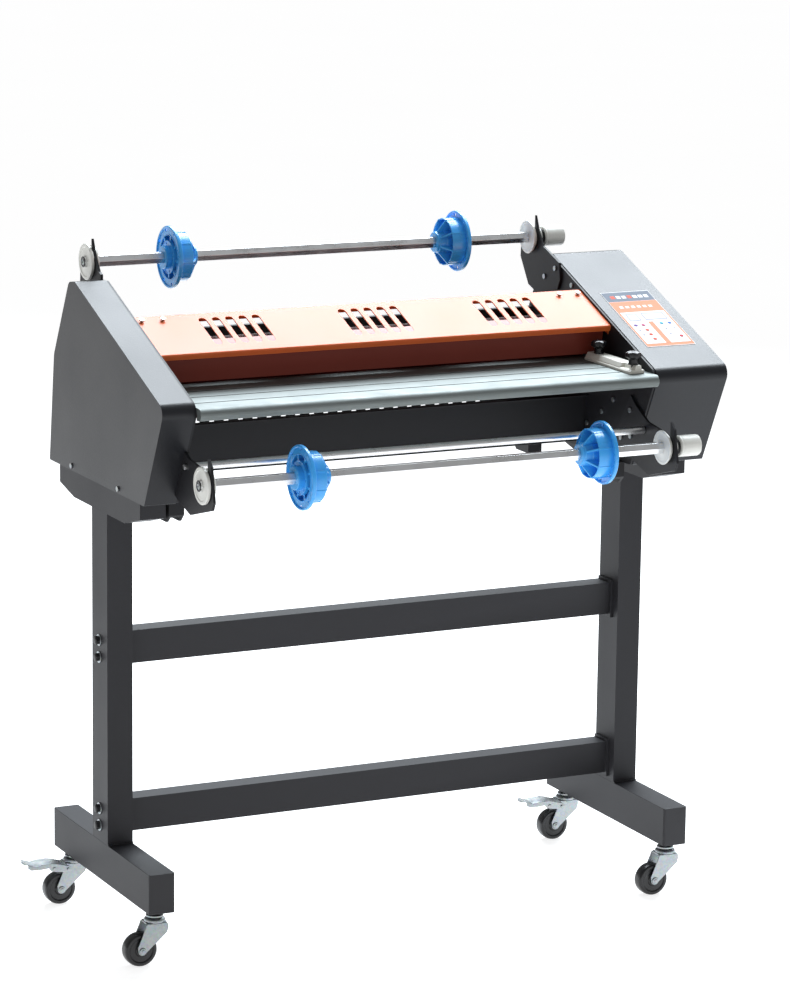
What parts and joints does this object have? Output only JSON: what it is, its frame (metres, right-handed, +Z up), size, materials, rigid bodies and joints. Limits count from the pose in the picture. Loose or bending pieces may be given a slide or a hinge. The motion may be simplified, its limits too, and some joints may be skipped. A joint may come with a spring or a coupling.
{
  "type": "cold roll laminator",
  "caption": "Floor-standing roll laminator with paired nip rollers, two film unwind shafts, a feed table with a sliding guide, and a wheeled steel stand.",
  "frame": {"origin": "on the floor under the centre of the bounding box, casters trailing to the left as drawn", "axes": "+X to the operator's right along the rollers, +Y away from the operator towards the outlet side, +Z up"},
  "size_m": [0.9742, 0.536, 1.0415],
  "materials": {
    "stand_paint": "fine textured powder coat, satin",
    "foot_cap": "moulded, matt",
    "black_bolt": "black oxide",
    "body_steel": "fine textured powder coat",
    "cover_paint": "fine textured powder coat, satin",
    "zinc": "bright zinc plate",
    "gear_steel": "machined and oiled",
    "caster_tread": "hard moulded, semi-gloss",
    "table_aluminium": "anodised extrusion",
    "guide_plastic": "moulded, satin",
    "black_plastic": "moulded, satin",
    "motor_paint": "semi-gloss",
    "orange_paint": "smooth powder coat, semi-gloss",
    "roller_rubber": "ground silicone rubber, satin",
    "shaft_chrome": "bright drawn bar, plated",
    "white_plastic": "turned acetal",
    "hub_blue": "moulded, satin gloss",
    "panel_film": "printed polyester film, satin"
  },
  "bodies": {
    "frame": {"left_foot": "stand_paint", "right_foot": "stand_paint", "left_post": "stand_paint", "right_post": "stand_paint", "lower_stretcher": "stand_paint", "upper_stretcher": "stand_paint", "left_top_beam": "stand_paint", "right_top_beam": "stand_paint", "foot_caps": "foot_cap", "stretcher_bolts": "black_bolt", "left_frame_plate": "body_steel", "right_frame_plate": "body_steel", "belly_pan": "body_steel", "lower_panel": "body_steel", "left_upper_bracket": "body_steel", "right_upper_bracket": "body_steel", "left_lower_bracket": "body_steel", "right_lower_bracket": "body_steel", "left_cover": "cover_paint", "right_cover": "cover_paint", "caster_stems": "zinc", "panel_screws": "zinc", "roller_bearings": "zinc", "feed_table": "table_aluminium", "power_inlet": "black_plastic", "gear_motor": "motor_paint", "vent_cover": "orange_paint", "roller_guard": "orange_paint", "control_panel": "panel_film"},
    "lower_roller": {"lower_roller": "roller_rubber", "lower_gear": "gear_steel", "drive_gear": "gear_steel"},
    "upper_roller": {"upper_roller": "roller_rubber", "upper_gear": "gear_steel"},
    "pinion": {"motor_pinion": "gear_steel"},
    "upper_spool": {"upper_hex_shaft": "shaft_chrome", "upper_spool_discs": "white_plastic"},
    "lower_spool": {"lower_hex_shaft": "shaft_chrome", "lower_spool_discs": "white_plastic"},
    "upper_left_hub": {"upper_left_hub": "hub_blue"},
    "upper_right_hub": {"upper_right_hub": "hub_blue"},
    "lower_left_hub": {"lower_left_hub": "hub_blue"},
    "lower_right_hub": {"lower_right_hub": "hub_blue"},
    "upper_knob": {"upper_tension_knob": "white_plastic"},
    "lower_knob": {"lower_tension_knob": "white_plastic"},
    "idler": {"idler_rod": "shaft_chrome"},
    "guide": {"side_guide": "guide_plastic"},
    "guide_knob_rear": {"rear_guide_knob": "black_plastic"},
    "guide_knob_front": {"front_guide_knob": "black_plastic"},
    "rocker": {"power_rocker": "black_plastic"},
    "front_left_caster": {"front_left_fork": "zinc"},
    "front_left_wheel": {"front_left_wheel": "caster_tread"},
    "front_right_caster": {"front_right_fork": "zinc"},
    "front_right_wheel": {"front_right_wheel": "caster_tread"},
    "rear_left_caster": {"rear_left_fork": "zinc"},
    "rear_left_wheel": {"rear_left_wheel": "caster_tread"},
    "rear_left_brake": {"rear_left_brake": "zinc"},
    "rear_right_caster": {"rear_right_fork": "zinc"},
    "rear_right_wheel": {"rear_right_wheel": "caster_tread"},
    "rear_right_brake": {"rear_right_brake": "zinc"}
  },
  "joints": [
    {"name": "lower_roller_spin", "type": "hinge", "parent": "frame", "child": "lower_roller", "pos_m": [-0.0096, 0.045, 0.811], "axis": [1, 0, 0], "continuous": true},
    {"name": "upper_roller_spin", "type": "hinge", "parent": "frame", "child": "upper_roller", "pos_m": [-0.0096, 0.045, 0.871], "axis": [1, 0, 0], "continuous": true},
    {"name": "pinion_spin", "type": "hinge", "parent": "frame", "child": "pinion", "pos_m": [0.3759, 0.08106, 0.77494], "axis": [1, 0, 0], "continuous": true},
    {"name": "upper_spool_spin", "type": "hinge", "parent": "frame", "child": "upper_spool", "pos_m": [-0.0096, 0.217, 0.9945], "axis": [1, 0, 0], "continuous": true},
    {"name": "lower_spool_spin", "type": "hinge", "parent": "frame", "child": "lower_spool", "pos_m": [-0.0096, -0.221, 0.738], "axis": [1, 0, 0], "continuous": true},
    {"name": "upper_left_hub_slide", "type": "slide", "parent": "upper_spool", "child": "upper_left_hub", "axis": [1, 0, 0], "range_m": [-0.1, 0.17]},
    {"name": "upper_right_hub_slide", "type": "slide", "parent": "upper_spool", "child": "upper_right_hub", "axis": [1, 0, 0], "range_m": [-0.16, 0.1]},
    {"name": "lower_left_hub_slide", "type": "slide", "parent": "lower_spool", "child": "lower_left_hub", "axis": [1, 0, 0], "range_m": [-0.12, 0.15]},
    {"name": "lower_right_hub_slide", "type": "slide", "parent": "lower_spool", "child": "lower_right_hub", "axis": [1, 0, 0], "range_m": [-0.17, 0.08]},
    {"name": "upper_knob_turn", "type": "hinge", "parent": "upper_spool", "child": "upper_knob", "pos_m": [0.3839, 0.217, 0.9945], "axis": [1, 0, 0], "continuous": true},
    {"name": "lower_knob_turn", "type": "hinge", "parent": "lower_spool", "child": "lower_knob", "pos_m": [0.3839, -0.221, 0.738], "axis": [1, 0, 0], "continuous": true},
    {"name": "idler_spin", "type": "hinge", "parent": "frame", "child": "idler", "pos_m": [-0.0096, -0.155, 0.7525], "axis": [1, 0, 0], "continuous": true},
    {"name": "guide_slide", "type": "slide", "parent": "frame", "child": "guide", "axis": [1, 0, 0], "range_m": [-0.6, 0.008]},
    {"name": "guide_knob_rear_turn", "type": "hinge", "parent": "guide", "child": "guide_knob_rear", "pos_m": [0.3349, -0.048, 0.86], "axis": [0, 0, 1], "continuous": true},
    {"name": "guide_knob_front_turn", "type": "hinge", "parent": "guide", "child": "guide_knob_front", "pos_m": [0.3349, -0.154, 0.86], "axis": [0, 0, 1], "continuous": true},
    {"name": "rocker_tilt", "type": "hinge", "parent": "frame", "child": "rocker", "pos_m": [0.4519, 0.25886, 0.72388], "axis": [1, 0, 0], "range_deg": [-10, 0]},
    {"name": "front_left_swivel", "type": "hinge", "parent": "frame", "child": "front_left_caster", "pos_m": [-0.4071, -0.088, 0.07], "axis": [0, 0, 1], "continuous": true},
    {"name": "front_left_roll", "type": "hinge", "parent": "front_left_caster", "child": "front_left_wheel", "pos_m": [-0.4311, -0.088, 0.025], "axis": [0, 1, 0], "continuous": true},
    {"name": "front_right_swivel", "type": "hinge", "parent": "frame", "child": "front_right_caster", "pos_m": [0.4509, -0.088, 0.07], "axis": [0, 0, 1], "continuous": true},
    {"name": "front_right_roll", "type": "hinge", "parent": "front_right_caster", "child": "front_right_wheel", "pos_m": [0.4269, -0.088, 0.025], "axis": [0, 1, 0], "continuous": true},
    {"name": "rear_left_swivel", "type": "hinge", "parent": "frame", "child": "rear_left_caster", "pos_m": [-0.4071, 0.238, 0.07], "axis": [0, 0, 1], "continuous": true},
    {"name": "rear_left_roll", "type": "hinge", "parent": "rear_left_caster", "child": "rear_left_wheel", "pos_m": [-0.4311, 0.238, 0.025], "axis": [0, 1, 0], "continuous": true},
    {"name": "rear_left_brake_press", "type": "hinge", "parent": "rear_left_caster", "child": "rear_left_brake", "pos_m": [-0.4211, 0.238, 0.057], "axis": [0, 1, 0], "range_deg": [-10, 0]},
    {"name": "rear_right_swivel", "type": "hinge", "parent": "frame", "child": "rear_right_caster", "pos_m": [0.4509, 0.238, 0.07], "axis": [0, 0, 1], "continuous": true},
    {"name": "rear_right_roll", "type": "hinge", "parent": "rear_right_caster", "child": "rear_right_wheel", "pos_m": [0.4269, 0.238, 0.025], "axis": [0, 1, 0], "continuous": true},
    {"name": "rear_right_brake_press", "type": "hinge", "parent": "rear_right_caster", "child": "rear_right_brake", "pos_m": [0.4369, 0.238, 0.057], "axis": [0, 1, 0], "range_deg": [-10, 0]}
  ],
  "couplings": [
    {"joint": "upper_roller_spin", "follows": "lower_roller_spin", "ratio": -1},
    {"joint": "pinion_spin", "follows": "lower_roller_spin", "ratio": -2.4}
  ]
}
